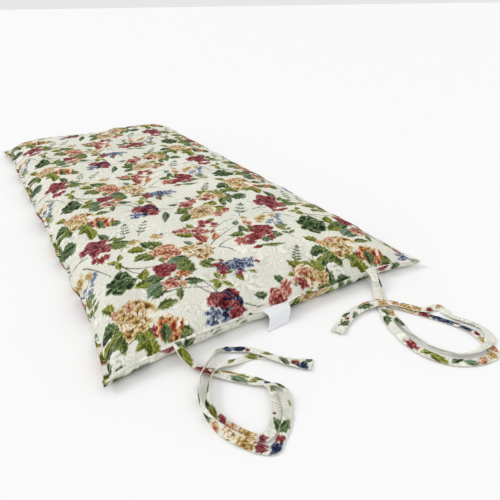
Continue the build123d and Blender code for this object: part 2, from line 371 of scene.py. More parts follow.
def print_left_column(cloth):
    """The cream peony with its flame bloom, the wine rose above them and their leaves."""
    cloth.leaves(OLIVE, (-262, -540, 122, 36, 18), (-262, -574, 190, 24, 20), (-213, -610, 194, 40, 20))
    cloth.leaves(DARK_GREEN, (-262, -566, 168, 38, 28), (-276, -656, 142, 34, 26), (-188, -626, 345, 30, 14))
    cloth.leaves(MOSS, (-264, -574, 268, 42, 26), (-200, -566, 352, 38, 16))
    cloth.stalk(-232, -598, 206, 64, bow=-8)
    cloth.collar(-234, -566, 32, MOSS, 172, 262, 3)
    cloth.collar(-234, -566, 28, OLIVE, 208, 300, 2)
    cloth.collar(-190, -603, 24, MOSS, 250, 330, 2)
    cloth.flower(-282, -616, 14, WHITE, 4, petals=3, layers=2, ragged=0.2, tall=1.3)
    cloth.leaves(DARK_GREEN, (-262, -642, 172, 38, 24), (-300, -630, 60, 20, 10))
    cloth.flower(-234, -566, 34, CREAM, 1, petals=7, layers=5, ragged=0.24, second=OCHRE)
    cloth.flower(-250, -551, 17, OCHRE, 12, petals=5, layers=3, ragged=0.24)
    cloth.blossoms(PEACH, 13, (-238, -542, 11), (-262, -540, 8))
    cloth.flower(-206, -600, 14, CRIMSON, 14, petals=5, layers=3, ragged=0.3)
    cloth.flower(-190, -603, 25, FLAME, 2, petals=5, layers=4, ragged=0.34, tall=1.1, second=CREAM)
    cloth.leaves(DARK_GREEN, (-206, -628, 78, 38, 17))
    cloth.leaves(MOSS, (-204, -344, 332, 34, 17), (-204, -338, 12, 32, 15))
    cloth.leaves(DARK_GREEN, (-211, -322, 96, 56, 19))
    cloth.leaves(OLIVE, (-232, -282, 84, 56, 24))
    cloth.stalk(-258, -338, 192, 48, bow=3)
    cloth.stalk(-258, -352, 172, 52, bow=-3)
    cloth.flower(-210, -352, 16, CRIMSON, 5, petals=5, layers=3, ragged=0.4)
    cloth.collar(-226, -338, 34, MOSS, -44, 30, 3)
    cloth.flower(-238, -330, 31, WINE, 3, petals=5, layers=4, ragged=0.24, tall=1.34)
    cloth.blossoms(CRIMSON, 16, (-250, -374, 9), (-240, -383, 11), (-227, -380, 8))


def print_leafy_group(cloth):
    """The dark leafy head, the crimson rose and the blossoms that hang over them."""
    cloth.stalk(-276, -370, 298, 76, bow=3, thick=2.4, colour=DARK_STEM)
    cloth.stalk(-224, -408, 276, 40, bow=0, colour=DARK_STEM)
    cloth.stalk(-216, -428, 328, 74, bow=-8, thick=3)
    cloth.stalk(-214, -426, 296, 56, bow=-4, thick=2.4)
    cloth.leaves(OLIVE, (-216, -408, 60, 22, 13), (-216, -408, 150, 22, 12), (-216, -408, 262, 28, 14))
    cloth.leaves(OLIVE, (-218, -514, 22, 54, 36), (-198, -496, 62, 40, 22))
    cloth.leaves(GREY_GREEN, (-168, -524, 208, 44, 26), (-150, -372, 252, 28, 15), (-132, -452, 292, 66, 40))
    cloth.leaves(MOSS, (-112, -470, 258, 52, 30), (-92, -498, 330, 20, 16), (-150, -548, 248, 28, 12),
                 (-98, -505, 12, 24, 12))
    cloth.leaves(DARK_GREEN, (-126, -452, 322, 36, 20), (-146, -538, 344, 42, 18), (-150, -402, 108, 34, 16),
                 (-168, -540, 192, 36, 14))
    cloth.stalk(-196, -548, 350, 90, bow=4, thick=2.2, colour=DARK_STEM)
    cloth.flower(-232, -478, 28, DARK_GREEN, 6, petals=7, layers=5, ragged=0.32, tall=1.42)
    cloth.leaves(OLIVE, (-158, -404, 158, 38, 26), (-142, -394, 88, 22, 12))
    cloth.leaves(MOSS, (-156, -420, 196, 38, 22))
    cloth.collar(-150, -500, 30, DARK_GREEN, 180, 350, 6)
    cloth.collar(-96, -478, 32, MOSS, 200, 330, 4)
    cloth.flower(-156, -488, 22, CRIMSON, 8, petals=5, layers=4, ragged=0.2, tall=1.1, second=WINE)
    cloth.flower(-135, -517, 13, FLAME, 9, petals=5, layers=3, ragged=0.34)
    cloth.flower(-159, -533, 16, ROSE, 10, petals=6, layers=3, ragged=0.38)
    cloth.blossoms(PEACH, 18, (-143, -541, 9), (-172, -540, 7))
    cloth.flower(-158, -434, 12, OCHRE, 19, petals=5, layers=2, ragged=0.3)
    cloth.flower(-73, -460, 33, DAHLIA, 13, petals=9, layers=5, ragged=0.26, second=CREAM)
    cloth.flower(-94, -440, 15, OCHRE, 15, petals=5, layers=3, ragged=0.3)
    cloth.collar(-130, -428, 31, MOSS, 96, 236, 5)
    cloth.flower(-130, -428, 31, PEACH, 11, petals=7, layers=5, ragged=0.22, second=ROSE)


def print_navy_flowers(cloth):
    """The two ragged flowers in navy and crimson, and the star of leaves between them."""
    cloth.stalk(-106, -580, 122, 46, bow=3, thick=2.2)
    cloth.stalk(-100, -580, 112, 40, bow=-3, thick=2.2)
    cloth.flower(-98, -606, 33, CRIMSON, 15, petals=7, layers=5, ragged=0.36, second=NAVY)
    cloth.flower(-123, -618, 16, WHITE_NAVY, 16, petals=6, layers=3, ragged=0.4)
    cloth.flower(-84, -624, 17, CRIMSON, 26, petals=6, layers=3, ragged=0.36)
    cloth.flower(-108, -588, 12, WINE, 28, petals=6, layers=3, ragged=0.4)
    cloth.flower(-14, -529, 18, PALE_BLUE, 19, petals=7, layers=4, ragged=0.4)
    cloth.collar(-36, -530, 26, OLIVE, 180, 250, 3)
    cloth.flower(-36, -530, 26, WHITE_NAVY, 17, petals=9, layers=5, ragged=0.38, tall=0.86)
    cloth.flower(-62, -527, 16, NAVY, 18, petals=6, layers=3, ragged=0.4, second=CRIMSON)
    cloth.blossoms(CRIMSON, 20, (-71, -517, 8), (-70, -539, 8), (-40, -549, 8), (4, -535, 6), (-56, -507, 6))
    cloth.leaves(OLIVE, (-82, -552, 98, 20, 12), (-82, -553, 172, 20, 12), (-82, -554, 234, 26, 14),
                 (-80, -554, 290, 32, 11), (-80, -552, 28, 16, 9), (-24, -548, 302, 20, 8))
    cloth.stalk(-68, -616, 350, 48, bow=-4, thick=2.2)


def print_near_roses(cloth):
    """The crimson and peach roses of the near edge, and the buds beside them."""
    cloth.leaves(DARK_GREEN, (12, -604, 96, 26, 14), (-20, -610, 162, 26, 15), (28, -616, 12, 26, 12),
                 (110, -640, 82, 42, 30))
    cloth.leaves(OLIVE, (42, -596, 52, 44, 24), (104, -606, 118, 24, 14), (56, -586, 20, 34, 16))
    cloth.flower(-8, -622, 21, CRIMSON, 21, petals=5, layers=4, ragged=0.22, second=ROSE)
    cloth.flower(15, -612, 16, ROSE, 22, petals=5, layers=3, ragged=0.34)
    cloth.collar(64, -609, 30, OLIVE, 20, 150, 5)
    cloth.collar(96, -612, 26, DARK_GREEN, -40, 60, 4)
    cloth.flower(64, -609, 29, PEACH, 23, petals=6, layers=5, ragged=0.2, second=CREAM)
    cloth.flower(86, -616, 16, OCHRE, 24, petals=5, layers=3, ragged=0.3)
    cloth.flower(47, -617, 11, CRIMSON, 25, petals=5, layers=3, ragged=0.3)
    cloth.sprig(62, -574, 54, 46, DARK_GREEN, pairs=5, leaf_length=14)
    cloth.stalk(94, -606, 70, 56, bow=5)
    cloth.stalk(104, -612, 74, 54, bow=-4)
    cloth.leaves(OLIVE, (96, -598, 98, 30, 12), (102, -586, 24, 26, 11), (90, -590, 140, 22, 10))
    cloth.paint((110, -572), 84, 26, bud, NAVY, 21)
    cloth.paint((122, -586), 66, 26, bud, CRIMSON, 18)
    cloth.paint((112, -602), 12, 26, bud, CRIMSON, 18)


def print_middle(cloth):
    """The dahlia in the middle of the repeat with its leaves and small roses."""
    cloth.leaves(DARK_GREEN, (-22, -314, 208, 38, 24), (-62, -258, 248, 66, 17), (64, -306, 84, 34, 14),
                 (82, -300, 68, 60, 18))
    cloth.leaves(MOSS, (-18, -296, 148, 38, 26), (-30, -282, 78, 30, 16), (60, -290, 54, 56, 20),
                 (40, -336, 24, 26, 12))
    cloth.collar(10, -302, 37, MOSS, 120, 222, 4)
    cloth.collar(10, -302, 37, OLIVE, -24, 62, 4)
    cloth.flower(10, -302, 37, DAHLIA, 27, petals=9, layers=6, ragged=0.2)
    cloth.flower(-12, -322, 14, OCHRE, 29, petals=5, layers=2, ragged=0.3)
    cloth.flower(30, -334, 15, ROSE, 30, petals=5, layers=3, ragged=0.34)
    cloth.flower(55, -323, 12, ROSE, 31, petals=5, layers=3, ragged=0.4)


def print_sprays(cloth):
    """Small sprays: red blossom, ochre and blue sprigs, and hanging buds."""
    cloth.leaves(OLIVE, (-58, -402, 140, 42, 27), (-44, -368, 100, 26, 15), (-10, -354, 18, 26, 13),
                 (-294, -476, 95, 38, 15), (-298, -470, 70, 24, 11))
    cloth.leaves(GREY_GREEN, (-78, -434, 105, 28, 14), (36, -402, 54, 28, 15), (-296, -284, 92, 34, 17),
                 (-284, -292, 52, 34, 15))
    cloth.leaves(CRIMSON, (-52, -440, 93, 58, 21), (-46, -402, 72, 30, 13))
    cloth.leaves(FLAME, (-34, -434, 55, 38, 17), (-38, -424, 84, 22, 10))
    cloth.blossoms(CRIMSON, 40, (-84, -366, 8), (-18, -352, 12), (-5, -357, 9), (-46, -379, 9), (3, -371, 10),
                   (-24, -367, 9), (-34, -382, 8))
    cloth.blossoms(ROSE, 50, (-72, -370, 11), (-60, -374, 9), (-36, -370, 10), (-5, -379, 8), (-28, -393, 10),
                   (-40, -391, 9), (-16, -399, 8), (-62, -362, 7))
    cloth.stalk(-24, -404, 25, 80, bow=8, thick=2.2)
    cloth.stalk(-46, -448, 24, 106, bow=10, thick=2.2)
    cloth.stalk(-36, -462, 20, 60, bow=6, thick=2.2)
    cloth.stalk(-36, -462, 306, 34, bow=3, thick=3.2, colour=DARK_STEM)
    cloth.leaves(DARK_GREEN, (26, -438, 62, 42, 16))
    cloth.flower(64, -402, 11, PEACH, 60, petals=5, layers=3, ragged=0.34, tall=1.7)
    cloth.blossoms(OCHRE, 61, (97, -399, 14), (110, -390, 11), (72, -375, 9), (57, -420, 9), (86, -412, 9),
                   (128, -396, 10), (-170, -363, 13), (-123, -364, 13))
    cloth.blossoms(CREAM, 70, (-158, -366, 8), (-112, -370, 6), (118, -380, 7))
    cloth.blossoms(PALE_BLUE, 75, (99, -428, 9), (109, -420, 8), (118, -440, 9), (130, -412, 9),
                   (140, -403, 8), (113, -448, 7), (-111, -360, 6), (126, -426, 7))
    cloth.stalk(104, -446, 62, 60, bow=3)
    cloth.sprig(68, -366, 60, 52, GREY_GREEN, pairs=3, leaf_length=20)
    cloth.collar(40, -462, 30, MOSS, 60, 130, 3)
    cloth.collar(60, -462, 26, DARK_GREEN, 250, 350, 4)
    cloth.flower(67, -452, 25, CRIMSON, 81, petals=5, layers=4, ragged=0.2)
    cloth.flower(14, -465, 18, ROSE, 82, petals=6, layers=3, ragged=0.34)
    cloth.flower(40, -467, 17, CRIMSON, 83, petals=5, layers=3, ragged=0.3)
    cloth.blossoms(WINE, 84, (24, -480, 11), (70, -484, 10), (84, -442, 9))
    cloth.leaves(MOSS, (30, -498, 341, 56, 12), (36, -500, 322, 34, 9), (96, -478, 200, 22, 10))
    cloth.paint((36, -504), 168, 26, bud, CRIMSON, 22)
    cloth.sprig(106, -504, 78, 42, MOSS, pairs=3, leaf_length=20)
    cloth.sprig(-176, -330, 74, 52, GREY_GREEN, pairs=4, leaf_length=15)
    cloth.sprig(-152, -342, 60, 60, DARK_GREEN, pairs=4, leaf_length=14)
    cloth.sprig(-200, -382, 40, 38, MOSS, pairs=3, leaf_length=10)


def printed(x, y):
    """The print's colour at points of flat cloth, in metres from the mattress's middle."""
    cloth = Cloth(x * 1000, y * 1000)
    print_damask(cloth)
    print_sprays(cloth)
    print_middle(cloth)
    print_leafy_group(cloth)
    print_navy_flowers(cloth)
    print_near_roses(cloth)
    print_left_column(cloth)
    soak_inks(cloth)
    add_slubs(cloth)
    return cloth.rgb


def soak_inks(cloth):
    """Dark inks sink into the weave and come out deeper and warmer; the pale ground stays as it is."""
    dark = 1 - np.clip(cloth.rgb.mean(axis=1) / INK_SOAK_BELOW, 0, 1)
    cloth.rgb *= 1 - dark[:, None] * INK_SOAK


def add_slubs(cloth):
    """Thick and thin threads that darken or lighten the cloth a little."""
    slub = noise(cloth.x / 1.3, cloth.y / 5.5, 91) + 0.7 * noise(cloth.x / 6, cloth.y / 1.2, 92)
    cloth.rgb *= (1 + 0.07 * slub)[:, None]


# What each strap's cut shows: (millimetres from its root, inks, size), leaves first and then flowers.
STRAP_LEAVES = {
    "left_tie_outer_strap": (
        (14, DARK_GREEN, 26), (34, OLIVE, 46), (80, OLIVE, 14), (118, GREY_GREEN, 36), (141, OLIVE, 26),
        (172, DARK_GREEN, 24), (205, MOSS, 10), (240, DARK_GREEN, 28), (372, DARK_GREEN, 30),
        (400, OLIVE, 32), (425, DARK_GREEN, 26), (494, OLIVE, 18), (570, MOSS, 18),
        (597, DARK_GREEN, 22)),
    "left_tie_inner_strap": (
        (24, DARK_GREEN, 40), (120, OLIVE, 30), (140, MOSS, 20), (165, OLIVE, 16), (222, DARK_GREEN, 26),
        (318, OLIVE, 24), (338, DARK_GREEN, 28), (362, OLIVE, 34), (425, MOSS, 18), (455, OLIVE, 24),
        (472, DARK_GREEN, 16), (520, OLIVE, 12), (538, DARK_GREEN, 18)),
    "right_tie_outer_strap": (
        (112, DARK_GREEN, 24), (130, DARK_GREEN, 30), (222, OLIVE, 30), (236, OLIVE, 34),
        (262, DARK_GREEN, 26), (278, GREY_GREEN, 24), (563, DARK_GREEN, 32), (590, DARK_GREEN, 24),
        (612, OLIVE, 18)),
    "right_tie_inner_strap": (
        (40, DARK_GREEN, 50), (142, DARK_GREEN, 36), (186, DARK_GREEN, 24), (541, DARK_GREEN, 34),
        (572, GREY_GREEN, 26), (598, DARK_GREEN, 24)),
}
STRAP_FLOWERS = {
    "left_tie_outer_strap": (
        (62, CRIMSON, 25), (152, NAVY, 14), (257, CRIMSON, 16), (271, NAVY, 22), (287, WINE, 20),
        (307, OCHRE, 28), (329, CREAM, 26), (350, PEACH, 20), (450, OCHRE, 26), (472, PEACH, 20),
        (508, NAVY, 20), (525, NAVY, 24), (539, CRIMSON, 10), (611, CRIMSON, 15), (623, NAVY, 20)),
    "left_tie_inner_strap": (
        (70, OCHRE, 28), (96, OCHRE, 28), (204, CRIMSON, 6), (246, WINE, 14), (263, OCHRE, 26),
        (285, PEACH, 22), (301, CRIMSON, 16), (386, CRIMSON, 22), (529, CRIMSON, 9)),
    "right_tie_outer_strap": (
        (80, OCHRE, 22), (191, CRIMSON, 27), (296, PEACH, 20), (315, OCHRE, 20), (335, PEACH, 20),
        (354, OCHRE, 18), (369, CRIMSON, 14), (384, NAVY, 24), (400, CRIMSON, 12), (412, NAVY, 28),
        (430, NAVY, 26), (449, CRIMSON, 24), (468, OCHRE, 24), (486, OCHRE, 24), (504, OCHRE, 24),
        (522, PEACH, 24), (542, OCHRE, 22), (620, CRIMSON, 9)),
    "right_tie_inner_strap": (
        (78, OCHRE, 20), (110, OCHRE, 26), (415, PEACH, 12), (432, CRIMSON, 14), (452, OCHRE, 20),
        (470, OCHRE, 24), (489, PEACH, 20), (507, OCHRE, 22), (584, CRIMSON, 9)),
}


def printed_strap(name, along, across):
    """A strap's colour at points in metres from its root and across its cut; its edges show the ground."""
    whole_strap = 2000.0
    cloth = Cloth(along * 1000, across * 1000, repeat_x=whole_strap, repeat_y=whole_strap)
    print_damask(cloth)
    for k, (at, inks, size) in enumerate(STRAP_LEAVES[name]):
        sideways = 3.5 * (-1) ** k
        cloth.leaves(inks, (at - 0.5 * size, sideways, -9 * sideways, 1.1 * size, 0.5 * size))
    for k, (at, inks, size) in enumerate(STRAP_FLOWERS[name]):
        cloth.flower(at, 2.5 * (-1) ** k, 0.5 * size, inks, k + len(name), petals=5, layers=3, ragged=0.3)
    soak_inks(cloth)
    fold = smooth((np.abs(across.ravel() * 1000) - 5.6) / 0.9)[:, None] * 0.7
    cloth.rgb = cloth.rgb * (1 - fold) + 0.94 * GROUND * fold
    add_slubs(cloth)
    return cloth.rgb


# ---- Materials ----

def new_material(name, roughness, sheen):
    material = bpy.data.materials.new(name)
    material.use_nodes = True
    shader = material.node_tree.nodes["Principled BSDF"]
    shader.inputs["Roughness"].default_value = roughness
    shader.inputs["Sheen Weight"].default_value = sheen
    shader.inputs["Sheen Roughness"].default_value = 0.5
    shader.inputs["Specular IOR Level"].default_value = 0.25
    return material, shader


def add_node(material, kind, **sockets):
    node = material.node_tree.nodes.new(kind)
    for name, value in sockets.items():
        node.inputs[name.replace("_", " ")].default_value = value
    return node


def math_node(material, operation, first, second):
    node = material.node_tree.nodes.new("ShaderNodeMath")
    node.operation = operation
    for socket, value in zip(node.inputs, (first, second)):
        if isinstance(value, (int, float)):
            socket.default_value = value
        else:
            material.node_tree.links.new(value, socket)
    return node.outputs[0]


def woven_coordinates(material, scale):
    """The flat cloth's own coordinates, scaled so that one unit is one thread or slub."""
    links = material.node_tree.links
    place = material.node_tree.nodes.new("ShaderNodeAttribute")
    place.attribute_name = "cloth"
    mapping = add_node(material, "ShaderNodeMapping", Scale=scale)
    links.new(place.outputs["Vector"], mapping.inputs["Vector"])
    return mapping.outputs["Vector"]


def printed_cloth(name, roughness=0.92):
    """Tapestry cloth: the print, broken up by its ribs and slubs, with the weave in relief."""
    material, shader = new_material(name, roughness, 0.01)
    shader.inputs["Specular IOR Level"].default_value = 0.05
    links = material.node_tree.links
    colour = material.node_tree.nodes.new("ShaderNodeAttribute")
    colour.attribute_name = "print"
    threads = add_node(material, "ShaderNodeTexNoise", Scale=1.0, Detail=2.0, Roughness=0.55)
    links.new(woven_coordinates(material, (620, 1500, 1)), threads.inputs["Vector"])
    slubs = add_node(material, "ShaderNodeTexNoise", Scale=1.0, Detail=3.0, Roughness=0.6)
    links.new(woven_coordinates(material, (900, 170, 1)), slubs.inputs["Vector"])
    mottled = math_node(material, "ADD", threads.outputs["Fac"], slubs.outputs["Fac"])
    gain = math_node(material, "MULTIPLY_ADD", mottled, 0.34)
    gain.node.inputs[2].default_value = 0.60
    tint = material.node_tree.nodes.new("ShaderNodeVectorMath")
    tint.operation = "SCALE"
    links.new(colour.outputs["Color"], tint.inputs[0])
    links.new(gain, tint.inputs["Scale"])
    links.new(tint.outputs["Vector"], shader.inputs["Base Color"])
    bump = add_node(material, "ShaderNodeBump", Strength=0.35, Distance=0.0007)
    links.new(mottled, bump.inputs["Height"])
    links.new(bump.outputs["Normal"], shader.inputs["Normal"])
    rough = math_node(material, "MULTIPLY_ADD", threads.outputs["Fac"], -0.12)
    rough.node.inputs[2].default_value = roughness + 0.06
    links.new(rough, shader.inputs["Roughness"])
    return material


def tone_and_relief(material, texture, low, high, strength, depth):
    """Colours a material between two (position, colour) stops of a texture, and raises it by the same."""
    links = material.node_tree.links
    shader = material.node_tree.nodes["Principled BSDF"]
    ramp = material.node_tree.nodes.new("ShaderNodeValToRGB")
    for element, (position, colour) in zip(ramp.color_ramp.elements, (low, high)):
        element.position = position
        element.color = (*colour, 1)
    links.new(texture.outputs["Fac"], ramp.inputs["Fac"])
    links.new(ramp.outputs["Color"], shader.inputs["Base Color"])
    bump = add_node(material, "ShaderNodeBump", Strength=strength, Distance=depth)
    links.new(texture.outputs["Fac"], bump.inputs["Height"])
    links.new(bump.outputs["Normal"], shader.inputs["Normal"])


def fibre(name, tint):
    """Needled wadding: a pale, matt tangle of fibres."""
    material, _ = new_material(name, 0.95, 0.3)
    place = material.node_tree.nodes.new("ShaderNodeTexCoord")
    tangle = add_node(material, "ShaderNodeTexNoise", Scale=260.0, Detail=6.0, Roughness=0.7, Distortion=2.2)
    material.node_tree.links.new(place.outputs["Object"], tangle.inputs["Vector"])
    tone_and_relief(material, tangle, (0.3, [0.8 * c for c in tint]), (0.75, tint), 0.5, 0.001)
    return material


def twisted_thread(name, tint):
    """Spun sewing thread, with its twist in colour and relief."""
    material, _ = new_material(name, 0.6, 0.2)
    place = material.node_tree.nodes.new("ShaderNodeTexCoord")
    twist = add_node(material, "ShaderNodeTexWave", Scale=900.0, Distortion=1.0, Detail=1.0)
    twist.bands_direction = "DIAGONAL"
    material.node_tree.links.new(place.outputs["Object"], twist.inputs["Vector"])
    tone_and_relief(material, twist, (0.0, [0.72 * c for c in tint]), (1.0, tint), 0.4, 0.0002)
    return material


def satin(name):
    """The label's white satin ribbon: fine warp lines and a soft gloss."""
    material, shader = new_material(name, 0.42, 0.1)
    shader.inputs["Specular IOR Level"].default_value = 0.5
    links = material.node_tree.links
    place = material.node_tree.nodes.new("ShaderNodeTexCoord")
    stretch = add_node(material, "ShaderNodeMapping", Scale=(2600, 160, 160))
    links.new(place.outputs["Object"], stretch.inputs["Vector"])
    warp = add_node(material, "ShaderNodeTexNoise", Scale=1.0, Detail=2.0)
    links.new(stretch.outputs["Vector"], warp.inputs["Vector"])
    tone_and_relief(material, warp, (0.2, (0.74, 0.76, 0.78)), (0.7, (0.90, 0.91, 0.93)), 0.25, 0.0002)
    return material


# ---- Meshes ----

def grid_faces(columns, rows, first=0):
    """Quads of a grid whose points are stored row by row."""
    corner = first + np.arange(rows - 1)[:, None] * columns + np.arange(columns - 1)[None, :]
    corner = corner.ravel()
    return np.stack([corner, corner + 1, corner + columns + 1, corner + columns], axis=1)


def make_mesh(name, points, faces, material):
    """A smooth-shaded object from arrays of points and quads."""
    mesh = bpy.data.meshes.new(name)
    mesh.vertices.add(len(points))
    mesh.vertices.foreach_set("co", np.asarray(points, np.float32).ravel())
    mesh.loops.add(4 * len(faces))
    mesh.loops.foreach_set("vertex_index", np.asarray(faces, np.int32).ravel())
    mesh.polygons.add(len(faces))
    mesh.polygons.foreach_set("loop_start", np.arange(0, 4 * len(faces), 4, dtype=np.int32))
    mesh.update(calc_edges=True)
    mesh.validate()
    mesh.polygons.foreach_set("use_smooth", np.ones(len(mesh.polygons), bool))
    if material:
        mesh.materials.append(material)
    piece = bpy.data.objects.new(name, mesh)
    bpy.context.scene.collection.objects.link(piece)
    return piece


def dye(piece, colours, cloth_points):
    """Stores each point's print colour, and its place on the flat cloth, for the material."""
    mesh = piece.data
    paint = mesh.attributes.new("print", "FLOAT_COLOR", "POINT")
    opaque = np.column_stack([colours, np.ones(len(colours))]).astype(np.float32)
    paint.data.foreach_set("color", opaque.ravel())
    place = mesh.attributes.new("cloth", "FLOAT_VECTOR", "POINT")
    place.data.foreach_set("vector", np.asarray(cloth_points, np.float32).ravel())


# ---- The sewn cover ----

def build_up(distance, ease):
    """How fully a crown has risen, from 0 to 1, at a distance from where it starts."""
    return 1 - np.exp(-distance / ease)


def seam_height(x, y):
    """The seam's height: it sinks at each corner and at the label, and wavers a little with the puckers."""
    corner = np.hypot(HALF_W - np.abs(x), HALF_L - np.abs(y))
    sag = EAR_DROP * np.exp(-(corner / EAR_REACH) ** 1.6)
    at_label = np.exp(-((x - LABEL_X) / 0.036) ** 6) * (y < 0)
    ripple = 0.0014 * noise(x / 0.05, y / 0.05, 101) + 0.0009 * noise(x / 0.021, y / 0.021, 102)
    return SEAM_HEIGHT + (SEAM_RISE + ripple * (1 - np.exp(-corner / 0.05))) * (1 - at_label) - sag


def sides_in(u, v):
    """Where flat cloth at (u, v) lies in plan: the sides draw in from each corner's point, in scallops."""
    along_x = u / HALF_W
    along_y = v / HALF_L
    inside_x = 1 - np.abs(along_y) ** 9
    inside_y = 1 - np.abs(along_x) ** 5
    scallop_x = 0.0036 * (1 + noise(v / 0.034, np.sign(u), 103)) * np.abs(along_x) ** 8 * inside_x
    scallop_y = 0.0014 * (1 + noise(u / 0.040, np.sign(v), 104)) * np.abs(along_y) ** 12 * inside_y
    x = along_x * (HALF_W - SIDE_PULL_IN * inside_x) - scallop_x * np.sign(u)
    y = along_y * (HALF_L - SIDE_PULL_IN * inside_y) - scallop_y * np.sign(v)
    return x, y


def waves(u, v):
    """The soft lumps of the stuffing under the top: broad waves across the width, and smaller dents."""
    drift = 0.05 * noise(u / 0.2, v / 0.25, 111)
    broad = np.sin((v + 0.6 * drift - 0.1 * u) * 2 * math.pi / 0.175 + 2.2 * noise(u / 0.35, v / 0.3, 112))
    broad = broad * (0.55 + 0.45 * noise(u / 0.22, v / 0.2, 113))
    small = noise(u / 0.075 + 4, v / 0.055, 114)
    return 0.0050 * broad + 0.0030 * small


def puckers(u, v):
    """Short creases that run in from the seam, where the cloth is gathered by its thread."""
    from_side = HALF_W - np.abs(u)
    from_end = HALF_L - np.abs(v)
    side = noise(v / 0.017, np.sign(u) + 3, 121) + 0.6 * noise(v / 0.040, np.sign(u) + 9, 122)
    end = noise(u / 0.015, np.sign(v) + 3, 123) + 0.6 * noise(u / 0.036, np.sign(v) + 9, 124)
    rise = 0.0026 * side * np.exp(-(from_side / 0.034) ** 1.3) * build_up(from_side, 0.004)
    rise = rise + 0.0024 * end * np.exp(-(from_end / 0.032) ** 1.3) * build_up(from_end, 0.004)
    return rise


def sim_grid():
    """Evenly spaced flat coordinates for the simulated pad."""
    columns = round(2 * HALF_W / SIM_STEP) + 1
    rows = round(2 * HALF_L / SIM_STEP) + 1
    return np.meshgrid(np.linspace(-HALF_W, HALF_W, columns), np.linspace(-HALF_L, HALF_L, rows))


# How far the simulation moved each point of its grid, for the two panels: nothing until it has run.
moved = {"top": np.zeros(sim_grid()[0].shape + (3,)), "under": np.zeros(sim_grid()[0].shape + (3,))}


def with_ghost_rim(field):
    """The field with one more row and column all round, carried on in a straight line."""
    rows = np.concatenate([2 * field[:1] - field[1:2], field, 2 * field[-1:] - field[-2:-1]])
    return np.concatenate([2 * rows[:, :1] - rows[:, 1:2], rows, 2 * rows[:, -1:] - rows[:, -2:-1]], axis=1)


def spline_weights(part):
    """Weights of four neighbours in a cubic B-spline."""
    return [(1 - part) ** 3 / 6, (3 * part ** 3 - 6 * part ** 2 + 4) / 6,
            (-3 * part ** 3 + 3 * part ** 2 + 3 * part + 1) / 6, part ** 3 / 6]


def simulated_move(panel, u, v):
    """The simulation's move at flat points, smoothly between its grid's points."""
    field = with_ghost_rim(moved[panel])
    rows, columns = moved[panel].shape[:2]
    across = (u + HALF_W) / (2 * HALF_W) * (columns - 1)
    along = (v + HALF_L) / (2 * HALF_L) * (rows - 1)
    i = np.clip(np.floor(across).astype(int), 0, columns - 2)
    j = np.clip(np.floor(along).astype(int), 0, rows - 2)
    across_weights = spline_weights(across - i)
    along_weights = spline_weights(along - j)
    total = 0
    for b in range(4):
        for a in range(4):
            last_column = np.minimum(i + a, columns + 1)
            last_row = np.minimum(j + b, rows + 1)
            total = total + (along_weights[b] * across_weights[a])[..., None] * field[last_row, last_column]
    return total


def flat_grid(step):
    """Flat coordinates of a panel's grid, a little closer together near the seams."""
    columns = round(2 * HALF_W / step) + 1
    rows = round(2 * HALF_L / step) + 1
    u, v = np.meshgrid(np.linspace(-1, 1, columns), np.linspace(-1, 1, rows))
    u = HALF_W * (u + 0.035 * np.sin(math.pi * u))
    v = HALF_L * (v + 0.018 * np.sin(math.pi * v))
    return u, v


def top_points(u, v):
    """Where the top panel's cloth lies: a flat rim, then the crown with its waves and puckers."""
    x, y = sides_in(u, v)
    from_side = np.maximum(HALF_W - np.abs(u), 0)
    from_end = np.maximum(HALF_L - np.abs(v), 0)
    beyond_side = np.maximum(from_side - FLANGE, 0)
    beyond_end = np.maximum(from_end - FLANGE, 0)
    dome = build_up(beyond_side, CROWN_EASE) * build_up(beyond_end, CROWN_EASE)
    stitch_line = 0.0012 * np.exp(-((np.minimum(from_side, from_end) - 1.2 * FLANGE) / 0.0024) ** 2)
    inland = smooth(np.minimum(from_side, from_end) / 0.07)
    z = seam_height(x, y) + CROWN * dome - stitch_line + waves(u, v) * inland + puckers(u, v) * dome ** 0.3
    points = np.stack([x, y, z], axis=-1) + simulated_move("top", u, v)
    over = np.maximum(points[..., 2] - HIGH_GROUND, 0)
    points[..., 2] -= 0.5 * over
    return points


def foot_inset(from_edge):
    """How far in, in plan, the underside lies this far from the seam: it bulges, then tucks in."""
    turn = 0.5 * math.pi * np.clip(from_edge / FOOT_CLOTH, 0, 1)
    return FOOT_INSET * (1 - np.cos(turn)) ** 1.2 - 0.0026 * np.sin(2 * turn) ** 2


def tucked(flat, half):
    """A flat coordinate of the underside, moved to where its cloth lies once the foot is tucked in."""
    from_edge = half - np.abs(flat)
    floor_part = (half - FOOT_INSET) * np.abs(flat) / (half - FOOT_CLOTH)
    return np.sign(flat) * np.where(from_edge < FOOT_CLOTH, half - foot_inset(from_edge), floor_part)


def under_points(u, v):
    """Where the bottom panel's cloth lies: down from the seam, tucked in, and flat on the floor."""
    x, y = sides_in(tucked(u, HALF_W), tucked(v, HALF_L))
    from_edge = np.maximum(np.minimum(HALF_W - np.abs(u), HALF_L - np.abs(v)), 0)
    turn = 0.5 * math.pi * np.clip(from_edge / FOOT_CLOTH, 0, 1)
    rim_x, rim_y = sides_in(u, v)
    z = seam_height(rim_x, rim_y) * (1 - np.sin(turn))
    z = z + puckers(u, v) * 0.5 * np.sin(2 * turn)
    points = np.stack([x, y, z], axis=-1) + simulated_move("under", u, v)
    points[..., 2] = np.maximum(points[..., 2], 0.0002)
    return points


def blurred(field):
    """The field's broad swell: each point becomes the mean of those about it, three times over."""
    reach = 3
    for _ in range(3):
        for axis in (0, 1):
            padding = [(reach, reach) if k == axis else (0, 0) for k in range(3)]
            wide = np.pad(field, padding, mode="edge")
            here = np.arange(field.shape[axis])
            shifted = [np.take(wide, here + k, axis=axis) for k in range(2 * reach + 1)]
            field = sum(shifted) / len(shifted)
    return field


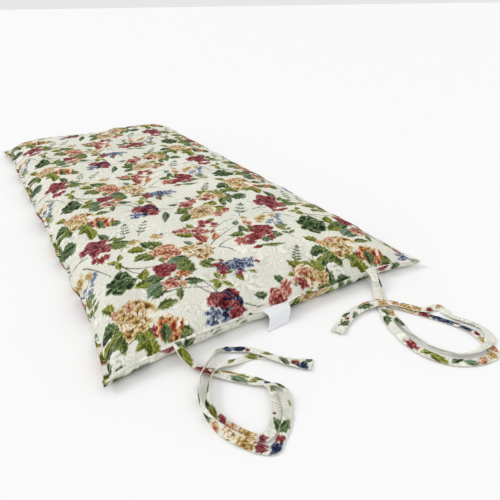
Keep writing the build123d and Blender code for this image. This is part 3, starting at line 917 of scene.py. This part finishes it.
def blow_up():
    """Inflates the closed pad as cloth, a little too big for its seam, so that it creases beside it."""
    u, v = sim_grid()
    rows, columns = u.shape
    count = rows * columns
    top = top_points(u, v).reshape(-1, 3)
    under = under_points(u, v).reshape(-1, 3)
    rim = ((np.abs(u) > HALF_W - 1e-6) | (np.abs(v) > HALF_L - 1e-6)).ravel()
    under_index = np.where(rim, np.arange(count), 0)
    under_index[~rim] = count + np.arange(np.count_nonzero(~rim))
    start = np.concatenate([top, under[~rim]])
    faces = grid_faces(columns, rows)
    pad = make_mesh("pad_simulation", start, np.concatenate([faces, under_index[faces][:, ::-1]]), None)
    resting = pad.vertex_groups.new(name="resting")
    held = start[:, 2] < 0.0008
    held[:count] |= rim
    resting.add([int(k) for k in np.flatnonzero(held)], 1.0, "REPLACE")
    cloth = pad.modifiers.new("cloth", "CLOTH")
    facts = cloth.settings
    facts.quality = 6
    facts.mass = 0.15
    facts.tension_stiffness = 12
    facts.compression_stiffness = 12
    facts.shear_stiffness = 4
    facts.bending_stiffness = 5
    facts.use_pressure = True
    facts.uniform_pressure_force = 1
    facts.shrink_min = -0.02
    facts.vertex_group_mass = resting.name
    facts.effector_weights.gravity = 0
    for number in range(1, 21):
        bpy.context.scene.frame_set(number)
    blown = pad.evaluated_get(bpy.context.evaluated_depsgraph_get()).to_mesh()
    end = np.empty(len(start) * 3)
    blown.vertices.foreach_get("co", end)
    bpy.data.objects.remove(pad)
    bpy.context.scene.frame_set(1)
    move = end.reshape(-1, 3) - start
    for panel, index in (("top", np.arange(count)), ("under", under_index)):
        whole = move[index].reshape(rows, columns, 3)
        swell = blurred(whole)
        kept = SIM_CREASES * (whole - swell) + SIM_SWELL * swell
        far = np.linalg.norm(kept, axis=2)[..., None]
        moved[panel] = kept * np.minimum(1, SIM_CAP / np.maximum(far, 1e-9))
    edge = moved["top"].copy()
    inner = np.s_[1:-1, 1:-1]
    edge[inner] = moved["under"][inner]
    moved["under"] = edge


def rim_ring(rows, columns):
    """The numbers of a grid's outer points, in order round its rim."""
    return np.concatenate([np.arange(columns), columns * np.arange(1, rows) + columns - 1,
                           columns * (rows - 1) + np.arange(columns - 2, -1, -1),
                           columns * np.arange(rows - 2, 0, -1)])


def with_lip(points, u, v, height):
    """Adds the seam allowance: two more rings of points, turned in behind the rim."""
    ring = rim_ring(*u.shape)
    flat = points.reshape(-1, 3)
    rim = flat[ring]
    inward = -np.stack([np.sign(rim[:, 0]) * (np.abs(u.ravel()[ring]) > HALF_W - 1e-9),
                        np.sign(rim[:, 1]) * (np.abs(v.ravel()[ring]) > HALF_L - 1e-9)], axis=1)
    extra = []
    for depth in (0.3 * LIP, LIP):
        turned = rim.copy()
        turned[:, :2] += inward * depth
        turned[:, 2] += height
        extra.append(turned)
    count = len(ring)
    first = len(flat)
    k = np.arange(count)
    after = (k + 1) % count
    strips = [np.stack([ring[k], ring[after], first + after, first + k], axis=1),
              np.stack([first + k, first + after, first + count + after, first + count + k], axis=1)]
    all_points = np.concatenate([flat, *extra])
    all_u = np.concatenate([u.ravel(), u.ravel()[ring], u.ravel()[ring]])
    all_v = np.concatenate([v.ravel(), v.ravel()[ring], v.ravel()[ring]])
    return all_points, np.concatenate(strips), all_u, all_v


def unrolled(flat, half):
    """A grid coordinate with the extra cloth that the steep edge takes, so the print isn't stretched."""
    return flat + np.sign(flat) * EDGE_CLOTH * np.exp(-(half - np.abs(flat)) / EDGE_CLOTH_EASE)


def make_cover(name, node, step, place, lip_height, flip, material):
    """One printed panel with its seam allowance; the bottom one is flipped and cut from elsewhere."""
    u, v = flat_grid(step)
    points, strips, all_u, all_v = with_lip(place(u, v), u, v, lip_height)
    faces = grid_faces(u.shape[1], u.shape[0])
    if flip:
        faces = faces[:, ::-1]
    else:
        strips = strips[:, ::-1]
    cover = make_mesh(name, points, np.concatenate([faces, strips]), material)
    shift_x, shift_y = UNDER_CUT if flip else (0, 0)
    flat = np.stack([unrolled(all_u, HALF_W) + shift_x, unrolled(all_v, HALF_L) + shift_y,
                     np.zeros_like(all_u)], axis=1)
    dye(cover, printed(flat[:, 0], flat[:, 1]), flat)
    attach(cover, "mattress")
    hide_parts(node)
    return cover


# ---- Ties ----

# The routes in millimetres, with the strap's tilt in degrees at each point. They are the CAD source's routes,
# moved by less than two strap widths, to where the photo shows the straps.
STRAPS = {
    "left_tie_outer_strap": [
        (-190, -611, 22.5, 0), (-190, -626, 21.5, 0), (-187, -643, 13, 4), (-180, -658, 5, 8),
        (-165, -677, 3, 10), (-146, -699, 3, 6), (-127, -720, 3, 10), (-110, -734, 3, 24),
        (-99, -747, 3, 40), (-100, -765, 3, 44), (-112, -782, 2.4, 34), (-127, -798, 1.4, 16),
        (-144, -812, 1, 8), (-160, -823, 1, 6), (-176, -810, 1, 14), (-191, -786, 1, 30),
        (-202, -766, 1, 58), (-206, -740, 1, 80), (-203, -712, 1, 86), (-192, -690, 1.8, 86),
        (-180, -672, 5.4, 82), (-163, -658, 6.2, 76), (-148, -648, 6.2, 60), (-137, -640, 4.4, 20),
        (-127, -643, 2.6, 4), (-112, -653, 2.7, 6), (-98, -664, 4, 8), (-87, -680, 4.8, 8),
        (-77, -699, 4.8, 6), (-61, -721, 3.6, 4), (-43, -738, 2.6, 0)],
    "left_tie_inner_strap": [
        (-190, -611, 20.5, 0), (-190, -625, 19.5, 0), (-187, -640, 9.6, 0), (-178, -656, 1.4, 0),
        (-161, -675, 1, 0), (-142, -695, 1, 0), (-125, -713, 1, 4), (-114, -729, 1, 20),
        (-113, -747, 1, 34), (-120, -765, 1, 30), (-130, -781, 1.6, 14), (-143, -795, 2.6, 6),
        (-160, -804, 3.2, 10), (-175, -795, 3.2, 20), (-187, -774, 3.2, 34), (-195, -752, 3.2, 44),
        (-198, -732, 3.2, 56), (-192, -715, 3.2, 68), (-184, -701, 3.6, 74), (-173, -686, 5.2, 70),
        (-161, -674, 5.6, 40), (-145, -671, 5.4, 14), (-128, -674, 3.6, 4), (-111, -673, 1.3, 0),
        (-97, -676, 1, 0), (-84, -687, 1, 0), (-69, -702, 1, 0), (-54, -718, 1, 0), (-35, -731, 1, 0)],
    "right_tie_outer_strap": [
        (184, -611, 22.5, 0), (183, -626, 21.5, 0), (173, -643, 12, 0), (161, -660, 5, 0),
        (147, -679, 3.2, 0), (133, -702, 3.2, -8), (120, -727, 3.2, -14), (112, -754, 3.2, -16),
        (108, -782, 3.2, -16), (112, -807, 3.2, -14), (123, -829, 3.2, -12), (142, -846, 2.4, -12),
        (168, -856, 1, -10), (190, -858, 1, -8), (203, -850, 1, -4), (208, -834, 1, -4), (213, -809, 1, -8),
        (208, -785, 1, -8), (199, -766, 1, -4), (189, -745, 1, 0), (177, -723, 1.6, 0), (165, -705, 4.4, 0),
        (153, -689, 5.4, 0), (140, -677, 5.2, 0), (121, -669, 2.2, 2), (97, -669, 1, 0), (74, -677, 1, 0),
        (53, -686, 1, 0), (34, -697, 1, 0)],
    "right_tie_inner_strap": [
        (184, -611, 20.5, 0), (184, -626, 19.5, 0), (181, -641, 8.6, 0), (171, -659, 1.4, 0),
        (157, -680, 1, 0), (144, -703, 1, 0), (136, -729, 1, 14), (129, -757, 1, 34), (126, -784, 1, 44),
        (130, -807, 1, 46), (142, -827, 1, 46), (163, -839, 1, 42), (187, -842, 2.8, 30),
        (209, -837, 3.2, 10), (225, -828, 3.2, -6), (233, -811, 2.6, -14), (229, -793, 3.2, -16),
        (220, -778, 3.2, -14), (216, -760, 3.2, -8), (220, -743, 3.2, 30), (211, -735, 3.2, 10),
        (195, -735, 3.2, 0), (180, -719, 4.6, 0), (165, -702, 7, 0), (149, -688, 7.8, 4),
        (132, -680, 7.2, 2), (113, -677, 5.2, 0), (93, -679, 4, 0), (74, -685, 3.4, 0), (55, -694, 3.2, 0),
        (38, -703, 3.2, 0)],
}

ROUTE_FLOOR = 0.0010        # the lowest that a flat strap's middle line runs


def route_points(name):
    """The strap's middle line, smooth, as points of its NURBS spline."""
    curve = bpy.data.curves.new(name + "_line", "CURVE")
    curve.dimensions = "3D"
    spline = curve.splines.new("NURBS")
    spline.points.add(len(STRAPS[name]) - 1)
    for point, (x, y, z, tilt) in zip(spline.points, STRAPS[name]):
        lift = 0.5 * STRAP_WIDTH * math.sin(math.radians(abs(tilt)))
        point.co = (x / 1000, y / 1000, max(z / 1000, ROUTE_FLOOR + lift), 1)
    spline.order_u = 3
    spline.use_endpoint_u = True
    spline.resolution_u = 12
    line = bpy.data.objects.new(name + "_line", curve)
    bpy.context.scene.collection.objects.link(line)
    bpy.context.view_layer.update()
    mesh = bpy.data.meshes.new_from_object(line)
    points = np.array([vertex.co[:] for vertex in mesh.vertices])
    bpy.data.objects.remove(line)
    return points


def lengths_along(points):
    """The distance travelled from the first point to each."""
    return np.concatenate([[0], np.cumsum(np.linalg.norm(np.diff(points, axis=0), axis=1))])


def make_strap(name, material):
    """A folded strap swept along its route: thick rounded edges, a stitched line, and a soft crease."""
    path = route_points(name)
    travelled = lengths_along(path)
    total = travelled[-1]
    stations = np.linspace(0, total, round(total / 0.0016))
    middle = np.stack([np.interp(stations, travelled, path[:, k]) for k in range(3)], axis=1)
    knots = lengths_along(np.array(STRAPS[name])[:, :3] / 1000)
    tilt = np.radians(np.interp(stations / total, knots / knots[-1], [p[3] for p in STRAPS[name]]))
    ahead = np.gradient(middle, axis=0)
    ahead /= np.linalg.norm(ahead, axis=1)[:, None]
    level = np.stack([ahead[:, 1], -ahead[:, 0], np.zeros(len(ahead))], axis=1)
    level /= np.linalg.norm(level, axis=1)[:, None]
    normal = np.cross(level, ahead)
    width = level * np.cos(tilt)[:, None] + normal * np.sin(tilt)[:, None]
    face = np.cross(width, ahead)
    around = np.linspace(0, 2 * math.pi, 41)[:-1]
    across = np.sign(np.cos(around)) * np.abs(np.cos(around)) ** 0.8
    up = np.sign(np.sin(around)) * np.abs(np.sin(around)) ** 0.4
    s = stations[:, None]
    seed = len(name)
    uneven = 0.07 * noise(s / 0.035, 0 * s, seed) + 0.02 * noise(s / 0.006, 0 * s, seed + 1)
    half = 0.5 * STRAP_WIDTH * (1 + uneven)
    puff = 0.5 * STRAP_THICK * (1 + 0.25 * noise(s / 0.012, across[None, :] * 1.5, 7))
    hem = 1 - 0.45 * np.exp(-((across[None, :] - 0.70) / 0.07) ** 2)
    fold = np.abs(across[None, :] - 0.2 * noise(s / 0.04, 0 * s, 5))
    crease = 0.0011 * noise(s / 0.05, 0 * s, seed + 2) * (0.5 - fold)
    rumple = 0.0007 * noise(s / 0.009 + 0.7 * across[None, :], across[None, :] * 1.2, seed + 3)
    points = (middle[:, None, :] + width[:, None, :] * (half * across[None, :])[:, :, None]
              + face[:, None, :] * (puff * hem * up[None, :] + crease + rumple)[:, :, None])
    points[:, :, 2] = np.maximum(points[:, :, 2], 0.0003)
    count = len(around)
    rows = len(stations)
    k = np.arange(rows - 1)[:, None] * count
    j = np.arange(count)[None, :]
    after = (j + 1) % count
    faces = np.stack([k + j, k + after, k + count + after, k + count + j], axis=-1).reshape(-1, 4)
    caps = []
    for first, sign in ((0, 1), ((rows - 1) * count, -1)):
        for c in range(count // 2 - 1):
            quad = (first + c, first + c + 1, first + count - c - 2, first + count - c - 1)
            caps.append(quad[::sign])
    strap = make_mesh(name.replace("_strap", "_ribbon"), points.reshape(-1, 3),
                      np.concatenate([faces, np.array(caps)]), material)
    back = 0.02
    girth = np.broadcast_to(0.5 * STRAP_WIDTH * across[None, :] + back * (up[None, :] < 0), (rows, count))
    along = np.broadcast_to(s, (rows, count))
    flat = np.stack([along.ravel(), girth.ravel(), np.zeros(girth.size)], axis=1)
    dye(strap, printed_strap(name, along, girth), flat)
    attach(strap, "mattress")
    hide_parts(name)
    return strap


# ---- Care label ----

def make_label(material):
    """The label's free part: it drops from its fold, swings to one side and flares at the floor."""
    hinge = Vector(frame["joints"][0]["pos_m"])
    across = np.linspace(-0.5, 0.5, 25)
    along = np.linspace(0, 1, 25)
    a, t = np.meshgrid(across, along)
    droop = np.radians(62 * smooth(2.2 * t) - 42 * smooth((t - 0.72) / 0.28))
    step = LABEL_FREE / (len(along) - 1)
    out = (np.cumsum(np.cos(droop), axis=0) - np.cos(droop[:1])) * step
    fall = (np.cumsum(np.sin(droop), axis=0) - np.sin(droop[:1])) * step
    swing = (-0.012 + 0.002 * a) * t ** 1.6 + 0.003 * np.sin(math.pi * t) * (0.5 - a)
    cockle = 0.0016 * np.cos(2 * math.pi * a + 1.2) * t + 0.0035 * np.maximum(2 * a, 0) ** 2 * t
    x = hinge.x - 0.001 + LABEL_WIDTH * (0.97 - 0.05 * t) * a + swing
    y = hinge.y - out * (0.98 - 0.16 * a)
    z = np.maximum(hinge.z - fall + cockle, 0.0006)
    top = np.stack([x, y, z], axis=-1).reshape(-1, 3)
    label = make_mesh("care_label_ribbon", top, grid_faces(len(across), len(along))[:, ::-1], material)
    thicken = label.modifiers.new("thickness", "SOLIDIFY")
    thicken.thickness = 0.0004
    thicken.offset = 0
    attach(label, "care_label")
    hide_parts("care_label_flap")


# ---- Stuffing and sewing inside the cover ----

def make_batt(name, low, high, inset, material):
    """A layer of wadding between two shares of the thickness, following the cover."""
    u = np.linspace(-HALF_W + inset, HALF_W - inset, 61)
    v = np.linspace(-HALF_L + inset, HALF_L - inset, 121)
    u, v = np.meshgrid(u, v)
    top = top_points(u, v)
    under = under_points(u, v)
    floor = under[..., 2] + 0.002
    room = np.maximum(top[..., 2] - 0.004 - floor, 0.001)
    layers = []
    for share in (low, high):
        layer = top.copy()
        layer[..., 2] = floor + share * room
        layers.append(layer.reshape(-1, 3))
    rows, columns = u.shape
    count = rows * columns
    faces = grid_faces(columns, rows)
    ring = rim_ring(rows, columns)
    after = np.roll(ring, -1)
    sides = np.stack([ring, after, after + count, ring + count], axis=1)
    batt = make_mesh(name + "_wadding", np.concatenate(layers),
                     np.concatenate([faces[:, ::-1], faces + count, sides]), material)
    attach(batt, "mattress")
    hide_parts(name)


def make_seam_thread(material):
    """The perimeter stitches: short thread loops through both allowances, just inside the rim."""
    inset = 0.006
    pitch = 0.009
    clear = 0.02            # no stitches this near a corner
    below = 0.0025          # under the seam's height, so that they stay between the covers
    radius = 0.0004
    points = []
    faces = []
    for side in range(4):
        half = HALF_W if side % 2 == 0 else HALF_L
        count = round(2 * (half - clear) / pitch)
        for k in range(count):
            t = (2 * (k + 0.5) / count - 1) * (half - clear)
            u, v = [(t, -HALF_L + inset), (HALF_W - inset, t),
                    (t, HALF_L - inset), (-HALF_W + inset, t)][side]
            x, y = sides_in(np.array(u), np.array(v))
            z = float(seam_height(x, y)) - below
            along = (1, 0) if side % 2 == 0 else (0, 1)
            base = len(points)
            for end in (-0.35, 0.35):
                for turn in range(6):
                    angle = turn * math.pi / 3
                    out = radius * math.cos(angle)
                    points.append((float(x) + along[0] * end * pitch + along[1] * out,
                                   float(y) + along[1] * end * pitch + along[0] * out,
                                   z + radius * math.sin(angle)))
            for turn in range(6):
                after = (turn + 1) % 6
                faces.append((base + turn, base + after, base + 6 + after, base + 6 + turn))
            for cap in ((3, 2, 1, 0), (5, 4, 3, 0), (6, 7, 8, 9), (6, 9, 10, 11)):
                faces.append(tuple(base + corner for corner in cap))
    thread = make_mesh("perimeter_seam_thread", points, np.array(faces), material)
    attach(thread, "mattress")
    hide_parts("perimeter_seam_stitches")


def finish_cad_nodes(thread, label):
    """Materials for the CAD nodes that stay as they are."""
    for name, material in (("left_tie_bar_tack", thread), ("right_tie_bar_tack", thread),
                           ("care_label_stitches", thread), ("care_label_root", label)):
        node = frame["nodes"][name]
        node.data.materials.clear()
        node.data.materials.append(material)


make_camera()
cloth_material = printed_cloth("tapestry_cloth")
strap_material = printed_cloth("tie_cloth", roughness=0.82)
satin_material = satin("label_satin")
batting_material = fibre("batting", (0.86, 0.85, 0.80))
thread_material = twisted_thread("thread", (0.74, 0.71, 0.62))
for strap_name in STRAPS:
    make_strap(strap_name, strap_material)
blow_up()
make_cover("top_cover", "top_panel", TOP_STEP, top_points, 0.0003, False, cloth_material)
make_cover("bottom_cover", "bottom_panel", UNDER_STEP, under_points, -0.0003, True, cloth_material)
make_batt("lower_batt", 0.0, 0.26, 0.030, batting_material)
make_batt("core_batt", 0.28, 0.70, 0.022, batting_material)
make_batt("upper_batt", 0.72, 1.0, 0.030, batting_material)
make_seam_thread(thread_material)
make_label(satin_material)
finish_cad_nodes(thread_material, satin_material)
make_floor()
make_lights()
